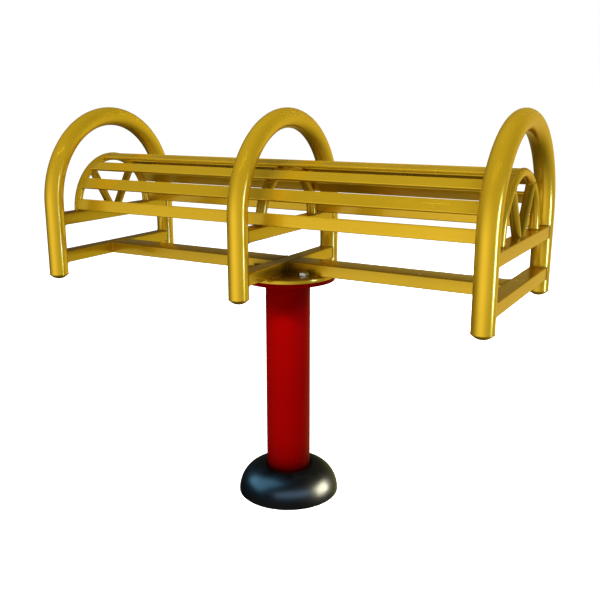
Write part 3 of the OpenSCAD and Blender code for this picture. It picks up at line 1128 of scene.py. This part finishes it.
def bar_end_bead():
    """Round the +X end of a bar that lies on top of the barrel, on the arch."""
    points = []
    for across, up in spread(rounded_outline(SLAT_WIDTH, SLAT_THICK, SLAT_EDGE)):
        height = barrel_r - SLAT_THICK / 2 + up
        from_axis = math.hypot(across, height) - arch_r
        reach = math.sqrt(max(arch_tube_r**2 - from_axis**2, 0))
        points.append((end_x - reach, across, barrel_z + height))
    return bead(points, SMALL_FILLET * 0.8, closed=True)


end_cope = cope_bead(rail_low.z)
upper_cope = cope_bead(upper_rail_z)
foot_ring = ring_bead((0, arch_r, barrel_z), arch_tube_r, FILLET)
middle_foot_ring = ring_bead((0, middle_arch_r, barrel_z), middle_arch_tube_r, FILLET)
cap_ring_bead = ring_bead((0, hoop_r, leg_bottom_z), hoop_tube_r, GROUND_BEAD)
strut_foot_bead = ring_bead(
    (0, STRUT_FOOT_Y, barrel_z), arch_tube_r, SMALL_FILLET, 1 / math.cos(STRUT_LEAN)
)
strut_head = strut_head_bead()
for side, x in SIDES.items():
    beads = [end_cope, upper_cope, cap_ring_bead]
    if side == "middle":
        beads += [middle_foot_ring]
    else:
        beads += [foot_ring, strut_foot_bead, strut_head]
    laid = [shifted(one, x) for one in beads]
    laid += [turned(one, 180, "Z", (x, 0, 0)) for one in laid]
    hand_over(joined(laid), f"{side}_frame_welds", "carousel", "yellow_paint", smooth=60)
discard(end_cope, upper_cope, foot_ring, middle_foot_ring, cap_ring_bead, strut_foot_bead,
        strut_head)

# %% [markdown]
# Each bar is welded to both end arches, and tacked to the middle arch from below with two short
# beads.

# %% Weld the bars
TACK_HALF = 10 * MM
TACK_X = 4.5 * MM
bar_end = bar_end_bead()
tack_r = middle_arch_r + math.sqrt(middle_arch_tube_r**2 - TACK_X**2) + 0.6 * MM
tack = bead([(TACK_X, -TACK_HALF, barrel_z + tack_r), (TACK_X, 0, barrel_z + tack_r + 0.1 * MM),
             (TACK_X, TACK_HALF, barrel_z + tack_r)], SMALL_FILLET)
for side, one, flip in (
    ("right", bar_end, False), ("left", bar_end, True), ("middle", tack, False),
):
    first = turned(one, 180, "Z") if flip else shifted(one)
    laid = [first] if side != "middle" else [first, turned(one, 180, "Z")]
    one_bar = joined(laid)
    ring = [turned(one_bar, angle, "X", (0, 0, barrel_z)) for angle in slat_angles.values()]
    discard(one_bar)
    hand_over(joined(ring), f"{side}_bar_welds", "carousel", "yellow_paint", smooth=60)
discard(bar_end, tack)

# %% [markdown]
# The rails are welded to the plate they stand on and to each other: up both sides and over the top
# of each butt joint, and along the foot of every side that stands on the plate.

# %% Weld the rails to the plate and to each other
WELD_END = 4 * MM
rail_half = rail_high.x
spine_half = spine_high.y
deck_reach = deck_high.x - DECK_RIM - WELD_END


def butt_bead(x):
    """Up one side of the spine, over its top and down the other."""
    bottom = spine_low.z + FILLET
    outline = rounded_outline(spine_high.y - spine_low.y, spine_high.z - spine_low.z, RAIL_CORNER)
    mid_z = spine_middle.z
    over = [(x, y, mid_z + z) for y, z in outline if z > 0]
    return bead([(x, spine_half, bottom), *over, (x, -spine_half, bottom)], SMALL_FILLET)


seam_at_middle = butt_bead(spine_low.x)
seam_at_end = butt_bead(spine_high.x)
across_reach = math.sqrt(deck_reach**2 - rail_half**2)
along_reach = math.sqrt(deck_reach**2 - spine_half**2)
plate_corner = bead([
    (rail_half, across_reach, deck_high.z), (rail_half, spine_half, deck_high.z),
    (along_reach, spine_half, deck_high.z),
], FILLET)
half_set = [seam_at_middle, seam_at_end, plate_corner,
            turned(plate_corner, 180, "X", (0, 0, deck_high.z))]
laid = half_set + [turned(one, 180, "Z") for one in half_set]
hand_over(joined(laid), "plate_welds", "carousel", "yellow_paint", smooth=60)

# %% [markdown]
# ## Parts inside
# The rest of the machine is the CAD model's own: the base plate and its gussets under the cover,
# and the housing, bearings, seal, spindle and lock nut in the top of the column. Their shapes are
# right already, so each only gets the finish of its kind.

# %% Give the inner parts their finishes
INNER = {
    "red_paint": ["base_plate", "base_gussets"],
    "shaft_steel": ["bearing_housing", "spindle", "inner_race_spacer", "lock_washer", "lock_nut"],
    "bearing_steel": ["lower_outer_race", "upper_outer_race", "lower_inner_race",
                      "upper_inner_race", "lower_bearing_balls", "upper_bearing_balls"],
    "cage_nylon": ["lower_ball_cage", "upper_ball_cage"],
    "seal_rubber": ["bearing_shields", "dust_seal"],
}
for slot, nodes in INNER.items():
    for node in nodes:
        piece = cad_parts[node]
        piece.data.materials.clear()
        piece.data.materials.append(FINISHES[slot])
print("inner parts:", sum(len(nodes) for nodes in INNER.values()))

# %% [markdown]
# ## Aim the lamps
# A studio would use flags and cards for some of this, and the rest only a computer can do. The
# panels round the foot are kept for the cover. The post has a key of its own, which passes through
# the open bench, so that only the two plates and the post itself throw a shadow on it. The bench's
# key leaves out the post, the cover, the red flange and the pieces inside the barrel. The strip is
# kept off the cover, the spines, the bolts and the washers.

# %% Choose what each lamp lights
def group(name, *pieces):
    """A collection to choose pieces for a lamp."""
    chosen = bpy.data.collections.new(name)
    for piece in pieces:
        chosen.objects.link(piece)
    return chosen


def named(*names):
    return [bpy.data.objects[name] for name in names]


cover_only = group("cover_only", cover)
for lamp in cover_lamps:
    lamp.light_linking.receiver_collection = cover_only
post_key.light_linking.receiver_collection = group("post_only", column)
post_key.light_linking.blocker_collection = group("post_shadow", deck, flange, column)
off_strip = named("left_spine_tube", "right_spine_tube", "hex_bolts", "flat_washers")
inside = off_strip + named(
    "bench_plate", "left_v_struts", "right_v_struts", "middle_arch_tube", "plate_welds",
    *(f"{side}_cross_rail_lower" for side in SIDES),
    *(f"{side}_cross_rail_upper" for side in SIDES),
    *(f"{side}_frame_welds" for side in SIDES),
)
for lamp, unlit in ((bench_key, [column, cover, flange] + inside), (strip, [cover] + off_strip)):
    rest = group(f"without_{lamp.name}", *unlit)
    for member in rest.collection_objects:
        member.light_linking.link_state = "EXCLUDE"
    lamp.light_linking.receiver_collection = rest
print("lamps for the cover:", len(cover_lamps))

# %% [markdown]
# ## Last look

# %% Let go of everything
let_go()
